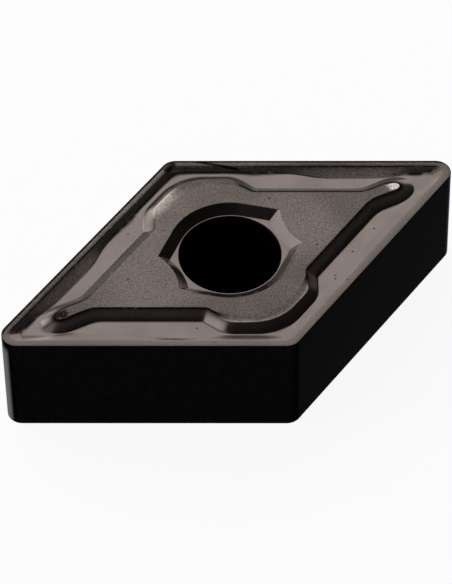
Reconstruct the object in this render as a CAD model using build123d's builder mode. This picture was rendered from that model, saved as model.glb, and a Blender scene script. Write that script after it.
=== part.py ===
from build123d import *

import os
from math import cos, radians, sin, tan

# A double-sided turning insert: a rhombus with upright flanks, a clamping hole, and a chipbreaker
# pressed into both faces. The bore stands on the origin and the lower seat lies at z = 0.
# Blank, in millimetres and degrees
inscribed_circle = 12.7  # between opposite flanks
acute_angle = 55.0  # at the two cutting corners
thickness = 6.35  # from the seat on one face to the cutting edge of the other
nose_radius = 0.8  # at the acute corners
heel_radius = 0.8  # at the obtuse corners
bore_diameter = 5.16
bore_chamfer = 0.08

# Rake, inwards and downwards from the cutting edge: a land, a lip, then a slope to the groove
hone_radius = 0.04
land_width = 0.35
land_drop = 0.03
lip_width = 0.1
lip_drop = 0.05
groove_depth = 0.21

# Foot of the slope: narrow at the nose, wide behind it, narrow again to the heel
foot_nose_inset = 0.78
foot_nose_radius = 0.25
foot_wide_inset = 1.1
foot_wide_start = 5.0  # along the edge from the sharp acute corner
foot_wide_length = 1.6
foot_ease_length = 3.3  # over which it narrows again
foot_heel_inset = 0.725
foot_heel_radius = 0.9

# Plateau: the seat in the middle, with a rib towards each nose and a lobe towards each heel
plateau_rise = 0.2  # above the cutting edge
wall_run = 0.6  # the walls lean: how far their foot stands out
shoulder_radius = 0.5
side_inset = 2.38  # from the edge to the long sides
lobe_inset = 1.57
lobe_half_width = 2.23  # to the corners at the ends of the lobe's crest
lobe_crest_radius = 2.7
lobe_corner_radius = 0.8
flank_angle = 64.0  # of the lobe's flanks, from the long diagonal
hollow_radius = 0.3  # where the flanks meet the long sides
neck_radius = 1.5  # where the long sides run into the rib
rib_half_width = 0.32
rib_inset = 4.15  # from the sharp acute corner to the rib's end, at the seat
rib_wall_run = 0.63
rib_end_run = 1.1
ramp_length = 0.5  # the rib's top falls away over its end
ramp_angle = 8.0

# Recess round the bore, with round and straight sides and hollow ends that meet in four points
recess_ledge = 0.04  # flat ring between the bore's chamfer and the recess's wall
recess_sector = 40.0  # half of each round stretch, from the short diagonal
recess_point_margin = 0.3  # how much further the points reach than the round stretches, lengthwise
recess_waist_margin = 0.05  # the same for the middle of the hollow ends
recess_wall_run = 0.5
recess_floor_drop = 0.22  # below the cutting edge

half_angle = radians(acute_angle / 2)
edge_normal = Vector(sin(half_angle), cos(half_angle))
edge_way = Vector(-cos(half_angle), sin(half_angle))
sharp_nose = Vector(inscribed_circle / 2 / sin(half_angle), 0)
sharp_heel = Vector(0, inscribed_circle / 2 / cos(half_angle))
foot_wide_end = foot_wide_start + foot_wide_length
foot_heel_start = foot_wide_end + foot_ease_length
rib_reach = sharp_nose.X - rib_inset
rib_foot_reach = rib_reach + rib_end_run
ramp_start = rib_reach - ramp_length
ramp_drop = (rib_foot_reach - ramp_start) * tan(radians(ramp_angle))
recess_radius = bore_diameter / 2 + bore_chamfer + recess_ledge + recess_wall_run
flank_normal = Vector(sin(radians(flank_angle)), cos(radians(flank_angle)))
lobe_reach = inscribed_circle / 2 - lobe_inset
lobe_corner_height = (lobe_reach - lobe_half_width * sin(half_angle)) / cos(half_angle)
flank_reach = flank_normal.dot(Vector(lobe_half_width, lobe_corner_height))
lower_edge = plateau_rise
upper_edge = thickness
overall_height = thickness + plateau_rise
mid_plane = Plane.XY.offset(overall_height / 2)
seat_plane = Plane.XY.offset(overall_height)
groove_plane = Plane.XY.offset(upper_edge - groove_depth)
recess_plane = Plane.XY.offset(upper_edge - recess_floor_drop)


def at(station, inset):
    """The point that far along the edge from the sharp nose, and that far in from it."""
    return sharp_nose + edge_way * station - edge_normal * inset


def ease(start, end):
    """A curve from start to end that leaves and arrives along the cutting edge."""
    handle = edge_way * ((end - start).dot(edge_way) / 2)
    Bezier(start, start + handle, end - handle, end)


def rake_contour(nose_inset, wide_inset, heel_inset, nose_round, heel_round):
    """A closed line along the four edges, with its own inset at the nose, behind it and at the heel."""
    nose_reach = inscribed_circle / 2 - nose_inset - nose_round
    heel_reach = inscribed_circle / 2 - heel_inset - heel_round
    nose_centre = Vector(nose_reach / sin(half_angle), 0)
    heel_centre = Vector(0, heel_reach / cos(half_angle))
    nose_end = nose_centre + edge_normal * nose_round
    heel_end = heel_centre + edge_normal * heel_round
    with BuildLine() as contour:
        RadiusArc(nose_centre + Vector(nose_round, 0), nose_end, -nose_round)
        ease(nose_end, at(foot_wide_start, wide_inset))
        Line(at(foot_wide_start, wide_inset), at(foot_wide_end, wide_inset))
        ease(at(foot_wide_end, wide_inset), at(foot_heel_start, heel_inset))
        Line(at(foot_heel_start, heel_inset), heel_end)
        RadiusArc(heel_end, heel_centre + Vector(0, heel_round), -heel_round)
        mirror(about=Plane.YZ)
        mirror(about=Plane.XZ)
    make_face(contour.edges())


def even_contour(inset):
    """The blank's outline, moved in by the same amount all round."""
    rake_contour(inset, inset, inset, nose_radius - inset, heel_radius - inset)


def meet(normal_a, reach_a, normal_b, reach_b):
    """Where two lines meet, each given by its normal and its distance from the bore's axis."""
    turn = normal_a.X * normal_b.Y - normal_a.Y * normal_b.X
    x = (reach_a * normal_b.Y - reach_b * normal_a.Y) / turn
    y = (reach_b * normal_a.X - reach_a * normal_b.X) / turn
    return Vector(x, y)


def round_corners(corner, radius):
    """Rounds this corner of the sketch and its mirror images."""
    alike = vertices().filter_by(lambda v: (Vector(abs(v.X), abs(v.Y)) - corner).length < 0.01)
    fillet(alike, radius)


def plateau_contour(run, rib_run, end_run):
    """The plateau's outline, grown by the run of its walls."""
    side_reach = inscribed_circle / 2 - side_inset + run
    half_width = rib_half_width + rib_run
    rib_centre = Vector(rib_reach - rib_half_width, 0)
    neck = meet(Vector(0, 1), half_width, edge_normal, side_reach)
    hollow = meet(edge_normal, side_reach, flank_normal, flank_reach + run)
    corner = meet(flank_normal, flank_reach + run, edge_normal, lobe_reach + run)
    crest = Vector(0, (lobe_reach + run) / cos(half_angle))
    with BuildLine() as contour:
        EllipticalCenterArc(rib_centre, rib_half_width + end_run, half_width, arc_size=90)
        Polyline(rib_centre + Vector(0, half_width), neck, hollow, corner, crest)
        mirror(about=Plane.YZ)
        mirror(about=Plane.XZ)
    make_face(contour.edges())
    round_corners(neck, neck_radius)
    round_corners(hollow, hollow_radius)
    round_corners(corner, lobe_corner_radius)
    round_corners(crest, lobe_crest_radius)


def recess_contour():
    """The recess's outline at the seat."""
    sector = radians(recess_sector)
    arc_end = Vector(sin(sector), cos(sector)) * recess_radius
    side_length = (recess_radius + recess_point_margin - arc_end.X) / cos(sector)
    point = arc_end + Vector(cos(sector), -sin(sector)) * side_length
    with BuildLine() as contour:
        CenterArc((0, 0), recess_radius, 90 - recess_sector, recess_sector)
        Line(arc_end, point)
        TangentArc((recess_radius + recess_waist_margin, 0), point, tangent=(0, 1))
        mirror(about=Plane.YZ)
        mirror(about=Plane.XZ)
    make_face(contour.edges())


# The space over the upper rake and groove, before the plateau fills its middle
with BuildPart() as rake:
    with BuildSketch(Plane.XY.offset(upper_edge)):
        even_contour(hone_radius)
    with BuildSketch(Plane.XY.offset(upper_edge - land_drop)):
        even_contour(land_width)
    with BuildSketch(Plane.XY.offset(upper_edge - land_drop - lip_drop)):
        even_contour(land_width + lip_width)
    with BuildSketch(groove_plane):
        rake_contour(foot_nose_inset, foot_wide_inset, foot_heel_inset, foot_nose_radius, foot_heel_radius)
    loft(ruled=True)

with BuildPart() as plateau:
    with BuildSketch(groove_plane):
        plateau_contour(wall_run, rib_wall_run, rib_end_run)
    with BuildSketch(seat_plane):
        plateau_contour(0, 0, 0)
    loft(ruled=True)
    fillet(faces().sort_by(Axis.Z)[-1].edges(), shoulder_radius)
    with BuildSketch(Plane.XZ):
        with BuildLine() as ramp:
            Polyline(
                (ramp_start, overall_height),
                (rib_foot_reach, overall_height - ramp_drop),
                (rib_foot_reach, overall_height),
                close=True,
            )
        make_face(ramp.edges())
        mirror(about=Plane.YZ)
    extrude(amount=rib_half_width + rib_wall_run, both=True, mode=Mode.SUBTRACT)

with BuildPart() as recess:
    with BuildSketch(seat_plane):
        recess_contour()
    with BuildSketch(recess_plane):
        recess_contour()
        offset(amount=-recess_wall_run, kind=Kind.INTERSECTION, mode=Mode.REPLACE)
    loft(ruled=True)

with BuildPart() as carbide_insert:
    with BuildSketch(Plane.XY.offset(lower_edge)) as blank:
        with BuildLine():
            Polyline(sharp_nose, sharp_heel, -sharp_nose, -sharp_heel, close=True)
        make_face()
        fillet(blank.vertices().group_by(Axis.X)[0] + blank.vertices().group_by(Axis.X)[-1], nose_radius)
        fillet(blank.vertices().group_by(Axis.Y)[0] + blank.vertices().group_by(Axis.Y)[-1], heel_radius)
    extrude(amount=upper_edge - lower_edge)
    fillet(faces().filter_by(Axis.Z).edges(), hone_radius)
    add([rake.part, rake.part.mirror(mid_plane)], mode=Mode.SUBTRACT)
    add([plateau.part, plateau.part.mirror(mid_plane)])
    add([recess.part, recess.part.mirror(mid_plane)], mode=Mode.SUBTRACT)
    with Locations(mid_plane):
        Hole(bore_diameter / 2)
    circles = edges().filter_by(GeomType.CIRCLE)
    bore_rims = circles.filter_by(lambda e: abs(e.radius - bore_diameter / 2) < 0.001)
    chamfer(bore_rims, bore_chamfer)

carbide_insert.part.label = "carbide_insert"
os.makedirs("parts", exist_ok=True)
export_step(carbide_insert.part, "parts/carbide_insert.step")
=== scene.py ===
from math import cos, pi, radians, sin, tan

import bpy
import numpy as np
from mathutils import Matrix, Vector
from mathutils.geometry import tessellate_polygon


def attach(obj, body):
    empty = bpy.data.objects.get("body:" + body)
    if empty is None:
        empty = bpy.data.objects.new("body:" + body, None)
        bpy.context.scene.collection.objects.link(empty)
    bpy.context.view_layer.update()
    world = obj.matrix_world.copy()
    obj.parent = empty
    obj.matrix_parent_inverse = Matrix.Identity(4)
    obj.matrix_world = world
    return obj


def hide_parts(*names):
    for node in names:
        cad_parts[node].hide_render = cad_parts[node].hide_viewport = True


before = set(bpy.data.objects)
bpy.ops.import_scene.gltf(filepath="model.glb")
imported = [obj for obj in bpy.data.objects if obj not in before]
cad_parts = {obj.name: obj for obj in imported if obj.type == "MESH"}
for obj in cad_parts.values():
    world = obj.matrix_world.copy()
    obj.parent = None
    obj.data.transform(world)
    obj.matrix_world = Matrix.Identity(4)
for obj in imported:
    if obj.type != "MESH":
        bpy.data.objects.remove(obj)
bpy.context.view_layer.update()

# Sizes of the insert in millimetres and degrees, in the frame of the CAD part
MM = 0.001
half_angle = radians(27.5)
apothem = 6.35  # from the bore's axis to each flank
edge_height = 6.35  # of the upper cutting edge
overall_height = 6.55
mid_height = overall_height / 2
nose_round = 0.8
heel_round = 0.8
hone = 0.04

# Rake, inwards and downwards from the cutting edge
lip_inset = 0.41
lip_drop = 0.045
back_lip_rise = 0.014
floor_height = 6.14  # of the groove
foot_nose_inset = 0.78
foot_nose_round = 0.25
foot_wide_inset = 1.1
foot_wide_start = 5.0  # along the edge from the sharp nose
foot_wide_end = 6.6
foot_heel_start = 9.9
foot_heel_inset = 0.725
foot_heel_round = 0.9
front_foot_shift = 0.17  # how much further in the foot lies at the front heel
ring_margin = 0.03  # kept between the groove's two rings where they nearly meet

# Plateau, with its ribs and lobes
side_inset = 2.38
wall_run = 0.6
neck_round = 1.5
rib_half_width = 0.32
rib_reach = 9.602
rib_wall_run = 0.63
rib_end_reach = 0.62  # from the centre of the rib's round end
rib_foot_reach = 1.42
ramp_start = 9.102
ramp_slope = tan(radians(8))
lobe_inset = 1.57
lobe_half_width = 2.23
lobe_flank_angle = 64
lobe_hollow_round = 0.5
lobe_corner_round = 1.0
lobe_crest_round = 2.7

# Recess and bore
recess_height = 6.13
recess_radius = 3.2
recess_sector = 40
recess_point_margin = 0.3
recess_waist_margin = 0.05
recess_wall_run = 0.5
rim_margin = 0.14  # from the recess's rim out to where its softening starts on the plateau
bore_radius = 2.58
bore_chamfer = 0.08

edge_normal = np.array([sin(half_angle), cos(half_angle)])
edge_way = np.array([-cos(half_angle), sin(half_angle)])
sharp_nose = np.array([apothem / sin(half_angle), 0])


def line(start, end, count):
    """Points from start towards end, which is left for the next stretch."""
    t = np.linspace(0, 1, count, endpoint=False)[:, None]
    return start + (end - start) * t


def arc(centre, radii, first, last, count):
    """Points along an arc or a stretch of an ellipse, without the last."""
    angles = np.radians(np.linspace(first, last, count, endpoint=False))
    return centre + np.column_stack([np.cos(angles) * radii[0], np.sin(angles) * radii[1]])


def ease(start, end, count):
    """Points along a curve that leaves and arrives along the cutting edge, without the last."""
    t = np.linspace(0, 1, count, endpoint=False)[:, None]
    handle = edge_way * ((end - start) @ edge_way / 2)
    begin = start * (1 - t) ** 3 + (start + handle) * 3 * t * (1 - t) ** 2
    return begin + (end - handle) * 3 * t**2 * (1 - t) + end * t**3


def bend(before, corner, after, radius, count):
    """Points along the rounding of a corner, both ends with it."""
    arrive = (corner - before) / np.linalg.norm(corner - before)
    leave = (after - corner) / np.linalg.norm(after - corner)
    turn = np.arctan2(arrive[0] * leave[1] - arrive[1] * leave[0], arrive @ leave)
    side = np.sign(turn) * np.array([-arrive[1], arrive[0]])
    centre = corner - arrive * radius * tan(abs(turn) / 2) + side * radius
    spoke = -side * radius
    across = np.array([-spoke[1], spoke[0]])
    angles = np.linspace(0, turn, count + 1)[:, None]
    return centre + spoke * np.cos(angles) + across * np.sin(angles)


def around(quarter):
    """The whole ring from its quarter, which runs from the long diagonal to the short one."""
    back = quarter[::-1]
    return np.vstack([quarter[:-1], back[:-1] * [-1, 1], -quarter[:-1], back[:-1] * [1, -1]])


def raised(ring, height):
    """The flat ring as points in space."""
    return np.column_stack([ring, np.full(len(ring), height)])


def meet(normal_a, reach_a, normal_b, reach_b):
    """Where two lines meet, each given by its normal and its distance from the bore's axis."""
    return np.linalg.solve(np.array([normal_a, normal_b]), np.array([reach_a, reach_b]))


def edge_ring(nose_inset, wide_inset, heel_inset, nose_turn, heel_turn, height):
    """A ring along the cutting edges with its own inset at the nose, behind it and at the heel."""
    nose = np.array([(apothem - nose_inset - nose_turn) / sin(half_angle), 0])
    heel = np.array([0, (apothem - heel_inset - heel_turn) / cos(half_angle)])
    wide_start = sharp_nose + edge_way * foot_wide_start - edge_normal * wide_inset
    wide_end = sharp_nose + edge_way * foot_wide_end - edge_normal * wide_inset
    heel_start = sharp_nose + edge_way * foot_heel_start - edge_normal * heel_inset
    stretches = [
        arc(nose, (nose_turn, nose_turn), 0, 62.5, 12),
        ease(nose + edge_normal * nose_turn, wide_start, 44),
        line(wide_start, wide_end, 14),
        ease(wide_end, heel_start, 30),
        line(heel_start, heel + edge_normal * heel_turn, 34),
        arc(heel, (heel_turn, heel_turn), 62.5, 90, 6),
        [heel + [0, heel_turn]],
    ]
    return raised(around(np.vstack(stretches)), height)


def even_ring(inset, height):
    """The blank's outline, moved in by the same amount all round."""
    return edge_ring(inset, inset, inset, nose_round - inset, heel_round - inset, height)


def island_ring(run, rib_run, end_reach, height):
    """The plateau's outline, grown by the run of its walls."""
    flank_turn = radians(lobe_flank_angle)
    flank_normal = np.array([sin(flank_turn), cos(flank_turn)])
    lobe_reach = apothem - lobe_inset
    lobe_corner = (lobe_reach - lobe_half_width * sin(half_angle)) / cos(half_angle)
    flank_reach = flank_normal @ [lobe_half_width, lobe_corner] + run
    side_reach = apothem - side_inset + run
    half_width = rib_half_width + rib_run
    rib = np.array([rib_reach - rib_half_width, 0])
    rib_side = rib + [0, half_width]
    ramp_side = np.array([ramp_start, half_width])
    neck = meet([0, 1], half_width, edge_normal, side_reach)
    hollow = meet(edge_normal, side_reach, flank_normal, flank_reach)
    corner = meet(flank_normal, flank_reach, edge_normal, lobe_reach + run)
    crest = np.array([0, (lobe_reach + run) / cos(half_angle)])
    neck_bend = bend(rib_side, neck, hollow, neck_round, 10)
    hollow_bend = bend(neck, hollow, corner, lobe_hollow_round, 10)
    corner_bend = bend(hollow, corner, crest, lobe_corner_round + run, 14)
    crest_bend = bend(corner, crest, corner * [-1, 1], lobe_crest_round, 24)
    stretches = [
        arc(rib, (end_reach, half_width), 0, 90, 22),
        line(rib_side, ramp_side, 5),
        line(ramp_side, neck_bend[0], 24),
        neck_bend[:-1],
        line(neck_bend[-1], hollow_bend[0], 40),
        hollow_bend[:-1],
        line(hollow_bend[-1], corner_bend[0], 8),
        corner_bend[:-1],
        line(corner_bend[-1], crest_bend[0], 6),
        crest_bend[:13],  # up to the middle of the crest
    ]
    return raised(around(np.vstack(stretches)), height)


def recess_ring(inset, height):
    """The recess's outline, moved in by this much."""
    sector = radians(recess_sector)
    radius = recess_radius - inset
    way = np.array([cos(sector), -sin(sector)])
    normal = np.array([sin(sector), cos(sector)])
    side_reach = recess_radius + recess_point_margin - sin(sector) * recess_radius
    side_length = side_reach / cos(sector)
    point = normal * recess_radius + way * side_length
    waist = recess_radius + recess_waist_margin
    hollow_radius = (point[1] ** 2 + (point[0] - waist) ** 2) / 2 / (point[0] - waist)
    centre_x = waist + hollow_radius
    hollow_radius += inset
    along = np.linspace(0, side_length, 400)[:, None]
    side = normal * radius + way * along
    beyond = np.hypot(side[:, 0] - centre_x, side[:, 1]) < hollow_radius
    tip = side[int(np.argmax(beyond)) - 1]
    tip_turn = np.degrees(np.arctan2(tip[1], tip[0] - centre_x))
    stretches = [
        arc(np.array([centre_x, 0]), (hollow_radius, hollow_radius), 180, tip_turn, 16),
        line(tip, normal * radius, 16),
        arc(np.zeros(2), (radius, radius), 90 - recess_sector, 90, 20),
        [[0, radius]],
    ]
    return raised(around(np.vstack(stretches)), height)


def circle_ring(radius, like, height):
    """A circle round the bore with a point facing each of the other ring's."""
    spokes = like[:, :2] / np.linalg.norm(like[:, :2], axis=1)[:, None]
    return raised(spokes * radius, height)


def unit(vectors):
    """The same directions with length 1."""
    return vectors / np.linalg.norm(vectors, axis=1)[:, None]


def inward(ring):
    """Flat unit vectors across the ring, towards its inside."""
    along = np.roll(ring, -1, axis=0) - np.roll(ring, 1, axis=0)
    return unit(np.column_stack([-along[:, 1], along[:, 0], np.zeros(len(ring))]))


def soften(before, corner, after, reach, count, leave=None):
    """Rings that round the corner between two slopes, starting and ending this far from it."""
    reach = np.broadcast_to(reach, len(corner))[:, None]
    leave = reach if leave is None else np.broadcast_to(leave, len(corner))[:, None]
    start = corner + unit(before - corner) * reach
    end = corner + unit(after - corner) * leave
    steps = np.linspace(0, 1, count + 1)
    return [start * (1 - t) ** 2 + corner * 2 * t * (1 - t) + end * t**2 for t in steps]


def ease_in(values, low, high):
    """From 0 at low to 1 at high, smoothly."""
    t = np.clip((values - low) / (high - low), 0, 1)
    return t * t * (3 - 2 * t)


def ramp_height(x):
    """The plateau's height, falling away over the ribs' ends."""
    return overall_height - np.maximum(np.abs(x) - ramp_start, 0) * ramp_slope


def clearance(ring, other):
    """How far each point of the ring is from the other ring, seen from above, less the margin."""
    away = ring[:, None, :2] - other[None, :, :2]
    return np.sqrt((away**2).sum(2)).min(1) - ring_margin


# What the mesh carries at each point for the materials: how light the coating is, painted
# highlights and shade included, how much of the plateau's grain it has, and how strong the painted
# shade and dark lines on it are. Then the numbers of the material slots.
MARKS = ("level", "grain", "painted_shade_and_dark_lines")
TOP, FLANK, HIGHLIGHT_RAMP, BORE, SHADED_RAMP = range(5)


class Shell:
    """Collects the rings and faces of the insert's upper half."""

    def __init__(self):
        self.points = []
        self.marks = []
        self.faces = []
        self.slots = []
        self.flats = []

    def ring(self, places, level=1.0, grain=0.0, painted_shade_and_dark_lines=0.0):
        """Adds a ring of points with their marks, and gives their numbers."""
        first = len(self.points)
        self.points.extend(places)
        columns = [np.broadcast_to(mark, len(places)) for mark in (level, grain, painted_shade_and_dark_lines)]
        self.marks.extend(np.column_stack(columns))
        return list(range(first, first + len(places)))

    def join(self, outer, inner, slot):
        """Joins two rings, given by their points' numbers, with a band of faces."""
        for k in range(len(outer)):
            after = (k + 1) % len(outer)
            self.faces.append((outer[k], outer[after], inner[after], inner[k]))
            self.slots.append(slot)
            self.flats.append(False)

    def fill(self, loops, slot):
        """Fills a flat stretch inside the first loop, less the one within it."""
        order = [k for loop in loops for k in loop]
        outlines = [[Vector((*self.points[k][:2], 0)) for k in loop] for loop in loops]
        threes = [tuple(order[k] for k in three) for three in tessellate_polygon(outlines)]
        for three in self.without_slivers(threes):
            self.faces.append(three if self.turn(three) > 0 else three[::-1])
            self.slots.append(slot)
            self.flats.append(True)

    def turn(self, three):
        """Twice the triangle's area from above, less than 0 where it runs clockwise."""
        a, b, c = (self.points[k] for k in three)
        return (b[0] - a[0]) * (c[1] - a[1]) - (b[1] - a[1]) * (c[0] - a[0])

    def without_slivers(self, threes):
        """Splits the neighbour of each triangle whose corners lie in one line, and drops it."""
        whole = [three for three in threes if abs(self.turn(three)) > 1e-7]
        slivers = [three for three in threes if three not in whole]
        for three in slivers * len(slivers):
            low, middle, high = sorted(three, key=lambda k: tuple(self.points[k][:2]))
            beside = [other for other in whole if low in other and high in other]
            if three in slivers and beside:
                tip = (set(beside[0]) - {low, high}).pop()
                slivers.remove(three)
                whole.remove(beside[0])
                whole += [(low, middle, tip), (middle, high, tip)]
        return whole + slivers


def build_insert():
    """The whole insert as one closed mesh, in metres."""
    shell = Shell()
    island_foot = island_ring(wall_run, rib_wall_run, rib_foot_reach, floor_height)
    middle, groove_outside, rake_foot = build_rake(shell, island_foot)
    island_edge, edge_line = build_island(shell, groove_outside, rake_foot, island_foot)
    bore_middle = build_centre(shell, island_edge, edge_line)
    return turned_over(shell, set(middle) | set(bore_middle))


def build_rake(shell, island_foot):
    """Flank, cutting edge, land, lip and slope, up to the groove's flat floor."""
    outline = even_ring(0, edge_height)
    station = (sharp_nose[0] - np.abs(outline[:, 0])) * cos(half_angle)
    station += np.abs(outline[:, 1]) * sin(half_angle)
    behind = ease_in(outline[:, 1], 0.2, 0.6)
    front = ease_in(-outline[:, 1], 0.2, 0.6)
    heel_half = ease_in(station, 8.5, 11.5)
    nose_half = ease_in(-station, -4.5, -2.5)
    lip = even_ring(lip_inset, edge_height - lip_drop)
    lip[:, 2] += back_lip_rise * behind
    foot = edge_ring(
        foot_nose_inset,
        foot_wide_inset,
        foot_heel_inset,
        foot_nose_round,
        foot_heel_round,
        floor_height,
    )
    foot = foot + inward(foot) * (front_foot_shift * front * heel_half)[:, None]

    # Flank and honed edge, the edge with painted shade along the back half
    flank_rings = [even_ring(0, height) for height in (mid_height, 4.4, 5.4, 6.1)]
    rings = [shell.ring(places) for places in flank_rings]
    for places in soften(flank_rings[-1], outline, lip, hone, 5):
        rings.append(shell.ring(places, 0.7, 0.0, behind))
    for outer, inner in zip(rings, rings[1:]):
        shell.join(outer, inner, FLANK)

    # Land, lip, slope and foot: the softer the foot, the further its rounding reaches
    softness = 0.06 + 0.24 * heel_half + 0.16 * front + 0.14 * nose_half * behind
    slope_length = np.linalg.norm(lip - foot, axis=1)
    lip_reach = np.minimum(0.07 + 0.05 * front, slope_length * 0.3)
    foot_reach = np.minimum(softness, slope_length * 0.5)
    floor_reach = np.minimum(softness, clearance(foot, island_foot) * 0.45)
    floor_side = foot + inward(foot)
    foot_rings = soften(lip, foot, floor_side, foot_reach, 5, floor_reach)
    path = [outline + unit(lip - outline) * share for share in (0.07, 0.18)]
    path += soften(outline, lip, foot, lip_reach, 5)
    path += [(path[-1] + foot_rings[0]) / 2] + foot_rings

    # Painted shade: dark lines along the edge, the lip and the foot, mostly on the back half, by
    # their place along the edge and across the rake
    lip_line = behind * np.interp(station, [0.8, 1.6, 10, 12], [0, 0.9, 0.9, 0.7])
    foot_line = behind * np.interp(station, [4, 5.5, 7, 7.6, 10.2], [0, 0.25, 0.45, 0.85, 1])
    nose_line = behind * np.interp(station, [1.7, 2.0, 2.6, 2.9], [0, 1, 1, 0])
    nose_line += 0.5 * (outline[:, 0] < 0) * np.interp(station, [1.7, 2.3, 3.0], [1, 0.8, 0])
    inner_line = np.maximum(foot_line, np.minimum(nose_line, 1))
    edge_shares = [1] + [0] * 14
    lip_shares = [0, 0, 0.6, 1, 1, 0.9, 0.7, 0.5, 0.1, 0, 0, 0, 0, 0, 0]
    foot_shares = [0, 0, 0, 0, 0, 0, 0, 0, 0, 0.1, 0.8, 1, 0.7, 0.3, 0]
    levels = [0.5, 0.72, 0.72, 0.76, 0.8, 0.84, 0.88, 0.9, 0.9, 0.9, 0.93, 0.97, 1, 1, 1]
    last = rings[-1]
    looks = zip(path, levels, edge_shares, lip_shares, foot_shares)
    for places, level, at_edge, at_lip, at_foot in looks:
        painted_shade_and_dark_lines = behind * at_edge + lip_line * at_lip + inner_line * at_foot
        grain = 0.3 * (level < 0.85) * (1 - behind) + (level < 0.95) * behind
        # Painted light: the land lighter on the back half
        painted_light_level = level + 0.12 * (level < 0.78) * (at_edge == 0) * behind
        ring = shell.ring(places, painted_light_level, grain, painted_shade_and_dark_lines)
        shell.join(last, ring, TOP)
        last = ring
    return rings[0], last, foot


def build_island(shell, groove_outside, rake_foot, island_foot):
    """The plateau's wall and edge, with a crown that is wide on the lobes and narrow elsewhere."""
    rim = island_ring(0, 0, rib_end_reach, overall_height)
    rim[:, 2] = ramp_height(rim[:, 0])
    across = unit((rim - island_foot) * [1, 1, 0])
    on_lobe = ease_in(np.abs(rim[:, 1]), 3.3, 4.3) * ease_in(-np.abs(rim[:, 0]), -3.4, -2.6)
    on_end = ease_in(np.abs(rim[:, 0]), 9.3, 9.75)
    crown_width = 0.15 + 0.65 * on_lobe - 0.08 * on_end
    crown_drop = 0.022 + 0.043 * on_lobe - 0.014 * on_end
    rim[:, 2] -= crown_drop
    wall_height = overall_height - floor_height
    rim[:, :2] -= (across * (wall_run * crown_drop / wall_height)[:, None])[:, :2]
    crown = rim + across * (crown_width / 2)[:, None] + np.outer(crown_drop, [0, 0, 1])
    crown[:, 2] = ramp_height(crown[:, 0])
    inside = crown + across * (crown_width / 2)[:, None]
    inside[:, 2] = ramp_height(inside[:, 0])
    rib_end = ease_in(np.abs(island_foot[:, 0]), 9.6, 10.2)
    foot_reach = np.minimum(0.08 + 0.25 * rib_end, clearance(island_foot, rake_foot) * 0.45)
    floor_side = island_foot - inward(island_foot)
    path = soften(floor_side, island_foot, rim, foot_reach, 4)
    path += [island_foot + (rim - island_foot) * share for share in (0.4, 0.7)]
    path += soften(island_foot, rim, crown, 0.03, 3)
    path += soften(rim, crown, inside, crown_width * 0.42, 6)

    # Marks from the foot inwards: the dark line along the rim, levels, the rim's share of the
    # painted highlights, the walls, and painted light and shade on the far lobe
    rim_line = [0] * 5 + [0.15, 0.4, 0.7, 1, 1, 1, 1, 1, 0.8, 0.4, 0.1, 0, 0]
    levels = [1, 0.98, 0.96, 0.94, 0.92, 0.9, 0.84, 0.7, 0.6, 0.62, 0.64, 0.66, 0.68, 0.7, 0.71]
    levels += [0.72] * 3
    rim_shine = [0] * 7 + [0.3, 0.8, 1, 1, 0.8, 0.6, 0.45, 0.3, 0.2, 0.1, 0]
    walls = [0] * 4 + [0.5, 1, 1] + [0] * 11
    far_lobe_painted_light = [0, -0.1, -0.25, -0.35, -0.35, -0.1, 0.35, 0.15] + [0] * 10
    # Painted highlights: a wide bright crescent on the far lobe's left rim and a thin bright line
    # on the near lobe's rim
    crescent = on_lobe * ease_in(-rim[:, 0], 0.3, 1.3) * ease_in(rim[:, 1], 2, 3)
    bright_edge = on_lobe * ease_in(-rim[:, 1], 2, 3)
    # Painted light: a lighter patch on the walls of the lobes' flanks
    lobe_flank = ease_in(np.abs(rim[:, 0]), 1.9, 2.3) * ease_in(-np.abs(rim[:, 0]), -3.2, -2.8)
    lobe_flank = lobe_flank * ease_in(np.abs(rim[:, 1]), 2.6, 3.0)
    # Painted light and shade on the far lobe: its wall lighter, its foot darker, and its rim
    # without the dark dip
    far_lobe = on_lobe * ease_in(rim[:, 1], 2, 3)
    back_left = ease_in(-rim[:, 0], 0, 2) * ease_in(rim[:, 1], 0.2, 0.6)
    fainter = (1 - 0.75 * on_lobe) * (1 - 0.5 * back_left)
    last = None
    looks = zip(path, rim_line, levels, rim_shine, walls, far_lobe_painted_light)
    for places, painted_shade_and_dark_lines, level, shine, on_wall, far_lobe_light in looks:
        # The level with painted highlights on the lobes' rims, painted shade round the ribs' ends,
        # and painted light on the lobes' flanks and the far lobe
        painted_light_level = level + 2.2 * crescent * shine + bright_edge * (0.2 * shine + 2.8 * shine**4)
        painted_light_level = painted_light_level * (1 - 0.8 * on_end * (shine > 0)) + 0.1 * lobe_flank * on_wall
        painted_light_level = painted_light_level + far_lobe * (far_lobe_light + max(0.72 - level, 0) * (shine > 0))
        grain = 0.0 if shine == 0 and level > 0.72 else 1.0
        ring = shell.ring(places, painted_light_level, grain, painted_shade_and_dark_lines * fainter)
        if last is None:
            shell.fill([groove_outside, ring], TOP)
        else:
            shell.join(last, ring, TOP)
        last = ring
    return last, path[-1]


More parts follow.
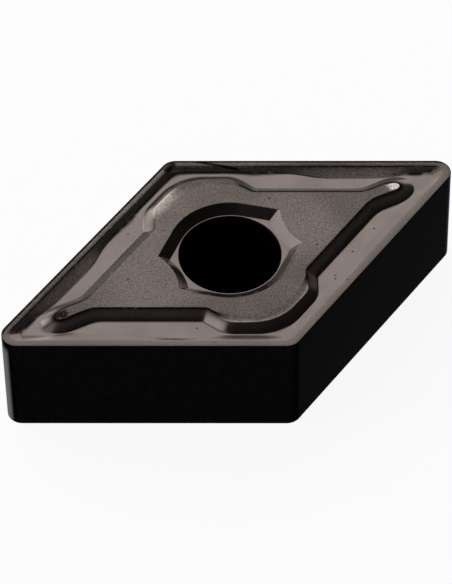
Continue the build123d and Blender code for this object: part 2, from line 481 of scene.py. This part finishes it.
def build_centre(shell, island_edge, edge_line):
    """Plateau, ramps, recess, ledge, chamfer and bore, down to mid height."""
    recess_rim = recess_ring(0, overall_height)
    recess_foot = recess_ring(recess_wall_run, recess_height)
    bore_edge = circle_ring(bore_radius + bore_chamfer, recess_foot, recess_height)
    bore_mouth = circle_ring(bore_radius, recess_foot, recess_height - bore_chamfer)
    bore_middle = circle_ring(bore_radius, recess_foot, mid_height)
    path = [recess_rim - inward(recess_rim) * rim_margin]
    path += soften(recess_rim - inward(recess_rim), recess_rim, recess_foot, 0.04, 3)
    path += [recess_rim + (recess_foot - recess_rim) * share for share in (0.3, 0.7)]
    path += soften(recess_rim, recess_foot, bore_edge, 0.012, 2)
    path += soften(recess_foot, bore_edge, bore_mouth, 0.012, 2)
    slots = [TOP] * len(path)
    path += soften(bore_edge, bore_mouth, bore_middle, 0.02, 2)
    path += [circle_ring(bore_radius, recess_foot, height) for height in (5.2, 4.2, mid_height)]
    slots += [BORE] * (len(path) - len(slots))

    # Edges of the plateau and of the two ramps, which part where the ribs start to fall away
    count = len(island_edge)
    on_crease = [k for k in range(count) if abs(abs(edge_line[k, 0]) - ramp_start) < 1e-4]
    right_back, left_back, left_front, right_front = sorted(on_crease)
    right_ramp = [island_edge[k % count] for k in range(right_front, right_back + count + 1)]
    left_ramp = island_edge[left_back : left_front + 1]
    plateau_edge = island_edge[right_back : left_back + 1]
    plateau_edge = plateau_edge + island_edge[left_front : right_front + 1]

    # Painted shade against the recess's front rim, less of it to the right
    recess_line = [0, 0.9, 1, 1, 1, 1, 1, 0.9, 0.3]
    recess_line += [0] * (len(path) - len(recess_line))
    in_front = ease_in(-recess_rim[:, 1], 1.2, 2.2)
    in_front = in_front * (1 - 0.6 * ease_in(recess_rim[:, 0], 0.3, 1.8))
    last = None
    for j, (places, slot, recess_shade) in enumerate(zip(path, slots, recess_line)):
        on_plateau = j < 3
        ring = shell.ring(places, 0.72 if on_plateau else 0.95, on_plateau, recess_shade * in_front)
        if last is None:
            shell.fill([plateau_edge, ring], TOP)
        else:
            shell.join(last, ring, slot)
        last = ring
    # The right ramp carries a painted highlight
    shell.fill([right_ramp], HIGHLIGHT_RAMP)
    # The left ramp carries painted shade
    shell.fill([left_ramp], SHADED_RAMP)
    return last


def turned_over(shell, shared):
    """The mesh of the upper half and its twin below, which share the rings at mid height."""
    points = np.array(shell.points)
    half = len(points)
    twin = np.arange(half)
    own = [k for k in range(half) if k not in shared]
    twin[own] = half + np.arange(len(own))
    below = points[own] * [1, 1, -1] + [0, 0, overall_height]
    points = np.vstack([points, below])
    marks = np.vstack([np.array(shell.marks), np.array(shell.marks)[own]])
    faces = shell.faces + [tuple(int(twin[k]) for k in reversed(face)) for face in shell.faces]
    mesh = bpy.data.meshes.new("insert_body")
    mesh.from_pydata((points * MM).tolist(), [], faces)
    mesh.polygons.foreach_set("material_index", shell.slots * 2)
    for column, name in enumerate(MARKS):
        layer = mesh.attributes.new(name, "FLOAT", "POINT")
        layer.data.foreach_set("value", marks[:, column].astype(np.float32))
    shade(mesh, points, faces, shell.flats * 2)
    return mesh


def shade(mesh, points, faces, flats):
    """Smooth normals weighted by area, with the flat stretches kept flat."""
    mesh.polygons.foreach_set("use_smooth", [True] * len(faces))
    normals = np.zeros_like(points)
    own = []
    for face in faces:
        a, b, c = points[face[0]], points[face[1]], points[face[2]]
        across = np.cross(b - a, c - a)
        if len(face) == 4:
            across = across + np.cross(c - a, points[face[3]] - a)
        normals[list(face)] += across
        own.append(across)
    normals /= np.linalg.norm(normals, axis=1)[:, None]
    corners = []
    for face, across, flat in zip(faces, own, flats):
        plain = across / np.linalg.norm(across)
        corners.extend([plain] * len(face) if flat else normals[list(face)])
    mesh.normals_split_custom_set([tuple(n) for n in corners])


insert = bpy.data.objects.new("insert_visual", build_insert())
bpy.context.scene.collection.objects.link(insert)


class Finish:
    """A metallic material, with short ways to work out what varies over the surface."""

    def __init__(self, name, roughness, edge_tint):
        self.material = bpy.data.materials.new(name)
        self.material.use_nodes = True
        self.nodes = self.material.node_tree.nodes
        self.links = self.material.node_tree.links
        self.shader = self.nodes["Principled BSDF"]
        self.shader.inputs["Roughness"].default_value = roughness
        self.shader.inputs["Metallic"].default_value = 1.0
        self.shader.inputs["Specular IOR Level"].default_value = 0.0
        self.shader.inputs["Specular Tint"].default_value = (edge_tint, edge_tint, edge_tint, 1)
        self.place = self.nodes.new("ShaderNodeTexCoord").outputs["Object"]

    def feed(self, socket, value):
        """Links the socket to another one, or sets it to a number."""
        if isinstance(value, bpy.types.NodeSocket):
            self.links.new(value, socket)
        else:
            socket.default_value = value

    def math(self, operation, *values):
        node = self.nodes.new("ShaderNodeMath")
        node.operation = operation
        for socket, value in zip(node.inputs, values):
            self.feed(socket, value)
        return node.outputs[0]

    def times(self, first, *others):
        for other in others:
            first = self.math("MULTIPLY", first, other)
        return first

    def mark(self, name):
        """One of the marks that the mesh carries."""
        node = self.nodes.new("ShaderNodeAttribute")
        node.attribute_name = name
        return node.outputs["Fac"]

    def noise(self, size, detail=2.0, shift=0.0):
        """Noise with grains of about this many millimetres, moved aside by some of them."""
        moved = self.nodes.new("ShaderNodeMapping")
        moved.inputs["Location"].default_value = (shift * MM, 0, 0)
        self.links.new(self.place, moved.inputs["Vector"])
        node = self.nodes.new("ShaderNodeTexNoise")
        node.inputs["Scale"].default_value = 1 / (size * MM)
        node.inputs["Detail"].default_value = detail
        self.links.new(moved.outputs[0], node.inputs["Vector"])
        return node.outputs["Fac"]

    def axis(self, name):
        """The place along one axis of the part, in metres."""
        node = self.nodes.new("ShaderNodeSeparateXYZ")
        self.links.new(self.place, node.inputs[0])
        return node.outputs[name]

    def span(self, value, low, high, start=0.0, end=1.0):
        """Carries low..high over to start..end, and stays within it."""
        node = self.nodes.new("ShaderNodeMapRange")
        node.interpolation_type = "SMOOTHSTEP"
        self.feed(node.inputs["Value"], value)
        bounds = (("From Min", low), ("From Max", high), ("To Min", start), ("To Max", end))
        for name, bound in bounds:
            node.inputs[name].default_value = bound
        return node.outputs["Result"]

    def between(self, share, one, other):
        """A number between two, by share."""
        node = self.nodes.new("ShaderNodeMix")
        self.feed(node.inputs["Factor"], share)
        self.feed(node.inputs["A"], one)
        self.feed(node.inputs["B"], other)
        return node.outputs["Result"]

    def colour(self, tint, level):
        """Sets the base colour to the tint at this level."""
        node = self.nodes.new("ShaderNodeVectorMath")
        node.operation = "SCALE"
        node.inputs[0].default_value = tint
        self.feed(node.inputs["Scale"], level)
        self.links.new(node.outputs[0], self.shader.inputs["Base Color"])

    def bump(self, height, depth):
        """Raises the surface by up to this many millimetres."""
        node = self.nodes.new("ShaderNodeBump")
        node.inputs["Distance"].default_value = depth * MM
        self.links.new(height, node.inputs["Height"])
        self.links.new(node.outputs[0], self.shader.inputs["Normal"])


# Colours of the coating and of the painted highlight on the right ramp, and how light the coating
# is where nothing has changed it
warm = (1.0, 0.83, 0.755)
highlight_tint = (1.0, 0.95, 0.92)
dark = (1.0, 0.9, 0.9)
coating_level = 0.116
grain_size = 0.08  # in millimetres, as all sizes of noise here


def dress_top(name, gloss, strength=coating_level, tint=warm, patchy=0.0):
    """The coating on the pressed faces: satin in the groove, grainy on the plateau."""
    made = Finish(name, gloss, 0.9)
    grain = made.mark("grain")
    speckle = made.noise(grain_size, 1.5)
    cloud = made.noise(1.8, 3.0, 5.0)
    x, y = made.axis("X"), made.axis("Y")
    # Painted light and shade where the grain mark lets it: darker towards the front, the right, the
    # far left and the back right
    painted_light_level = made.times(
        made.span(y, -2.8 * MM, -1.4 * MM, 0.74, 1.0),
        made.span(x, 4.8 * MM, 6.6 * MM, 1.0, 0.7),
        made.span(x, -8.4 * MM, -6.0 * MM, 0.66, 1.0),
        made.between(
            made.span(x, -1.0 * MM, 1.0 * MM),
            made.span(y, 2.2 * MM, 3.6 * MM, 1.0, 0.95),
            made.span(y, 1.6 * MM, 3.0 * MM, 1.0, 0.78),
        ),
    )
    level = made.times(made.mark("level"), strength)
    # On the ramps: the level fades in from the ramp's start and is mottled, shaping the painted
    # highlight on the right ramp and the painted shade on the left
    if patchy:
        onset = made.span(made.math("ABSOLUTE", x), 9.08 * MM, 9.5 * MM)
        level = made.times(made.between(onset, 0.07, level))
        patches = made.span(made.noise(0.22, 3.0, 2.0), 0.5, 0.62, 1 - patchy, 1.0)
        level = made.times(level, patches)
    else:
        level = made.times(level, made.between(grain, 1.0, painted_light_level))
    calm = made.span(speckle, 0.3, 0.7, 0.95, 1.05)
    rough_spots = made.span(speckle, 0.3, 0.7, 0.65, 1.35)
    level = made.times(level, made.between(grain, calm, rough_spots))
    level = made.times(level, made.span(cloud, 0.3, 0.7, 0.93, 1.07))
    # Painted shade: the dark-line mark, broken up by noise, darkens the coating and takes its metal
    # away, so that it hardly reflects there
    dash = made.span(made.noise(0.3, 2.0, 9.0), 0.25, 0.5, 0.6, 1.0)
    painted_shade_and_dark_lines = made.times(made.mark("painted_shade_and_dark_lines"), dash)
    level = made.times(level, made.span(painted_shade_and_dark_lines, 0.0, 1.0, 1.0, 0.08))
    metal = made.times(0.95, made.math("SUBTRACT", 1.0, painted_shade_and_dark_lines))
    made.feed(made.shader.inputs["Metallic"], metal)
    level = made.times(level, *scars(made))
    made.colour(tint, level)
    made.feed(made.shader.inputs["Roughness"], made.between(grain, gloss, gloss + 0.08))
    made.bump(speckle, 0.0015)
    return made.material


# Small dark pits: place and radius in millimetres. Then two dark lines: start, end and half width.
pits = (
    (-5.52, 0.57, 6.55, 0.055),
    (3.41, 2.19, 6.55, 0.055),
    (-4.03, 3.66, 6.14, 0.045),
    (-6.91, 2.77, 6.14, 0.045),
    (10.1, 0.95, 6.2, 0.05),
    (10.75, 0.15, 6.25, 0.045),
    (9.63, 0.68, 6.3, 0.04),
    (7.39, -1.86, 6.14, 0.05),
    (5.66, -2.74, 6.14, 0.05),
    (4.10, -3.77, 6.14, 0.045),
    (3.99, -3.99, 6.14, 0.05),
    (4.46, -4.42, 6.3, 0.045),
    (4.11, -1.80, 6.55, 0.05),
    (-3.75, -3.67, 6.14, 0.045),
    (-3.96, -4.21, 6.25, 0.04),
    (-3.17, -4.81, 6.28, 0.045),
    (-3.45, -5.04, 6.33, 0.04),
    (-0.94, -5.90, 6.25, 0.06),
    (11.86, 0.25, 6.25, 0.06),
)
hairline = (Vector((2.95, 5.02, 6.28)), Vector((1.05, 6.60, 6.34)), 0.085)
blotch = (Vector((-0.35, 6.62, 6.3)), Vector((0.1, 6.8, 6.34)), 0.16)


def scars(made):
    """What the pits, the hairline and the blotch leave of the base colour."""
    for x, y, z, radius in pits:
        away = made.nodes.new("ShaderNodeVectorMath")
        away.operation = "DISTANCE"
        made.links.new(made.place, away.inputs[0])
        away.inputs[1].default_value = (x * MM, y * MM, z * MM)
        yield made.span(away.outputs["Value"], radius * 0.6 * MM, radius * 1.6 * MM, 0.15, 1.0)
    for start, end, radius in (hairline, blotch):
        yield made.span(from_line(made, start, end), radius * 0.5 * MM, radius * 1.5 * MM, 0.1, 1.0)


def from_line(made, start, end):
    """How far the surface is from a straight line between two points."""
    way = (end - start).normalized()
    offset = made.nodes.new("ShaderNodeVectorMath")
    offset.operation = "SUBTRACT"
    made.links.new(made.place, offset.inputs[0])
    offset.inputs[1].default_value = start * MM
    along = made.nodes.new("ShaderNodeVectorMath")
    along.operation = "DOT_PRODUCT"
    made.links.new(offset.outputs[0], along.inputs[0])
    along.inputs[1].default_value = way
    reached = made.math("MAXIMUM", along.outputs["Value"], 0.0)
    reached = made.math("MINIMUM", reached, (end - start).length * MM)
    foot = made.nodes.new("ShaderNodeVectorMath")
    foot.operation = "SCALE"
    foot.inputs[0].default_value = way
    made.links.new(reached, foot.inputs["Scale"])
    gap = made.nodes.new("ShaderNodeVectorMath")
    gap.operation = "DISTANCE"
    made.links.new(offset.outputs[0], gap.inputs[0])
    made.links.new(foot.outputs[0], gap.inputs[1])
    return gap.outputs["Value"]


def dress_flank(name, gloss):
    """The flanks and the bore: near black, with a faint sheen, and a painted grey reflection on the
    flank at the left nose.
    """
    made = Finish(name, gloss, 0.45)
    cloud = made.noise(0.3, 5.0)
    level = made.span(cloud, 0.3, 0.7, 0.0025, 0.0038)
    # Painted reflection: a grey strip down the flank at the left nose
    painted_reflection_strip = made.times(
        made.span(made.axis("X"), -12.83 * MM, -12.69 * MM, 1.0, 0.0),
        made.span(made.axis("Z"), 5.5 * MM, 6.1 * MM, 1.0, 0.0),
    )
    made.colour(dark, made.between(painted_reflection_strip, level, 0.2))
    made.bump(made.noise(0.05), 0.001)
    return made.material


insert.data.materials.append(dress_top("coating_top", 0.2))
insert.data.materials.append(dress_flank("coating_flank", 0.35))
# The right ramp: a painted highlight, much lighter than the coating
insert.data.materials.append(dress_top("painted_highlight_ramp", 0.14, 0.54, highlight_tint, 0.3))
insert.data.materials.append(dress_flank("coating_bore", 0.5))
# The left ramp: painted shade, darker than the coating and mottled
insert.data.materials.append(dress_top("painted_shade_ramp", 0.3, 0.06, warm, 0.85))

# Floor: round, with a rising edge, nearly white to the camera, with a little of the shadow left
floor_rings = ((1.0, 0.0), (1.15, 0.05), (1.2, 0.28))  # reach and height, in metres
paper_level = 0.8
paper_glow = 0.92  # how much of what the camera sees is plain white
shadow_reach = (5.0, 6.0)  # from the bore's axis: the glow leaves out the floor under the insert
turns = 64
floor_points = []
for reach, height in floor_rings:
    for k in range(turns):
        turn = 2 * pi * k / turns
        floor_points.append((cos(turn) * reach, sin(turn) * reach, height))
floor_faces = [tuple(range(turns))]
for low in (0, turns):
    for k in range(turns):
        after = (k + 1) % turns
        floor_faces.append((low + after, low + k, low + turns + k, low + turns + after))
floor_mesh = bpy.data.meshes.new("studio_floor")
floor_mesh.from_pydata(floor_points, [], floor_faces)
floor = bpy.data.objects.new("studio_floor", floor_mesh)
bpy.context.scene.collection.objects.link(floor)
paper = bpy.data.materials.new("studio_paper")
paper.use_nodes = True
nodes = paper.node_tree.nodes
links = paper.node_tree.links
nodes.clear()
output = nodes.new("ShaderNodeOutputMaterial")
matte = nodes.new("ShaderNodeBsdfDiffuse")
matte.inputs["Color"].default_value = (paper_level, paper_level, paper_level, 1)
glow = nodes.new("ShaderNodeEmission")
glow.inputs["Strength"].default_value = 1.0
rays = nodes.new("ShaderNodeLightPath")
first = nodes.new("ShaderNodeMath")
first.operation = "MAXIMUM"
links.new(rays.outputs["Is Camera Ray"], first.inputs[0])
links.new(rays.outputs["Is Glossy Ray"], first.inputs[1])
second = nodes.new("ShaderNodeMath")
second.operation = "MAXIMUM"
links.new(first.outputs[0], second.inputs[0])
links.new(rays.outputs["Is Transmission Ray"], second.inputs[1])
spot = nodes.new("ShaderNodeTexCoord")
distance = nodes.new("ShaderNodeVectorMath")
distance.operation = "LENGTH"
links.new(spot.outputs["Object"], distance.inputs[0])
open_floor = nodes.new("ShaderNodeMapRange")
open_floor.inputs["From Min"].default_value = shadow_reach[0] * MM
open_floor.inputs["From Max"].default_value = shadow_reach[1] * MM
open_floor.inputs["To Max"].default_value = paper_glow
links.new(distance.outputs["Value"], open_floor.inputs["Value"])
share = nodes.new("ShaderNodeMath")
share.operation = "MULTIPLY"
links.new(second.outputs[0], share.inputs[0])
links.new(open_floor.outputs["Result"], share.inputs[1])
blend = nodes.new("ShaderNodeMixShader")
links.new(share.outputs[0], blend.inputs["Fac"])
links.new(matte.outputs[0], blend.inputs[1])
links.new(glow.outputs[0], blend.inputs[2])
links.new(blend.outputs[0], output.inputs["Surface"])
floor.data.materials.append(paper)

air_level = 0.01
world = bpy.data.worlds.new("studio_air")
bpy.context.scene.world = world
world.use_nodes = True
air = world.node_tree.nodes["Background"]
air.inputs["Color"].default_value = (1, 1, 1, 1)
air.inputs["Strength"].default_value = air_level


def softbox(name, azimuth, elevation, distance, width, height, radiance):
    """A lamp that faces the insert. Azimuth 0 is behind it and 90 to its right; sizes in metres."""
    lamp = bpy.data.lights.new(name, "AREA")
    lamp.shape = "RECTANGLE"
    lamp.size = width
    lamp.size_y = height
    lamp.energy = radiance * pi * width * height
    holder = bpy.data.objects.new(name, lamp)
    bpy.context.scene.collection.objects.link(holder)
    turn, rise = radians(azimuth), radians(elevation)
    way = Vector((sin(turn) * cos(rise), cos(turn) * cos(rise), sin(rise)))
    holder.location = way * distance
    holder.rotation_euler = way.to_track_quat("Z", "Y").to_euler()


softbox("back_left_box", -52, 24, 0.7, 1.05, 0.68, 2.3)
softbox("back_right_box", 18, 29.5, 0.7, 0.87, 0.87, 2.1)
softbox("left_box", -80, 52, 0.7, 0.34, 0.26, 2.4)
softbox("overhead_box", 0, 75, 0.7, 0.55, 0.3, 1.2)
softbox("front_box", 180, 17, 0.8, 1.9, 0.29, 0.7)

# Camera: found from the photo's straight edges. Its shift is in millimetres, to the right, down
# and away from it, and runs from the camera to the bore's axis at the lower cutting edge.
camera_azimuth = radians(-26.197)
camera_elevation = radians(49.0213)
camera_roll = radians(0.98745)
camera_shift = np.array([0.27324, 1.95837, 203.54155])
focal_pixels = 3885.476
photo_height = 584
sensor = 36.0
back = np.array([
    sin(camera_azimuth) * cos(camera_elevation),
    -cos(camera_azimuth) * cos(camera_elevation),
    sin(camera_elevation),
])
level_right = np.cross(-back, [0, 0, 1])
level_right /= np.linalg.norm(level_right)
level_down = np.cross(-back, level_right)
right = cos(camera_roll) * level_right + sin(camera_roll) * level_down
down = cos(camera_roll) * level_down - sin(camera_roll) * level_right
place = -(right * camera_shift[0] + down * camera_shift[1] - back * camera_shift[2])
place += [0, 0, overall_height - edge_height]
camera_data = bpy.data.cameras.new("photo_camera")
camera_data.sensor_width = sensor
camera_data.lens = focal_pixels * sensor / photo_height
camera_data.clip_start = 0.01
camera_data.clip_end = 20
camera = bpy.data.objects.new("photo_camera", camera_data)
bpy.context.scene.collection.objects.link(camera)
turned = Matrix(np.column_stack([right, -down, back]).tolist()).to_4x4()
camera.matrix_world = Matrix.Translation(Vector(place * MM)) @ turned
bpy.context.scene.camera = camera
bpy.context.scene.view_settings.view_transform = "Standard"

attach(insert, "root")
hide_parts("carbide_insert")
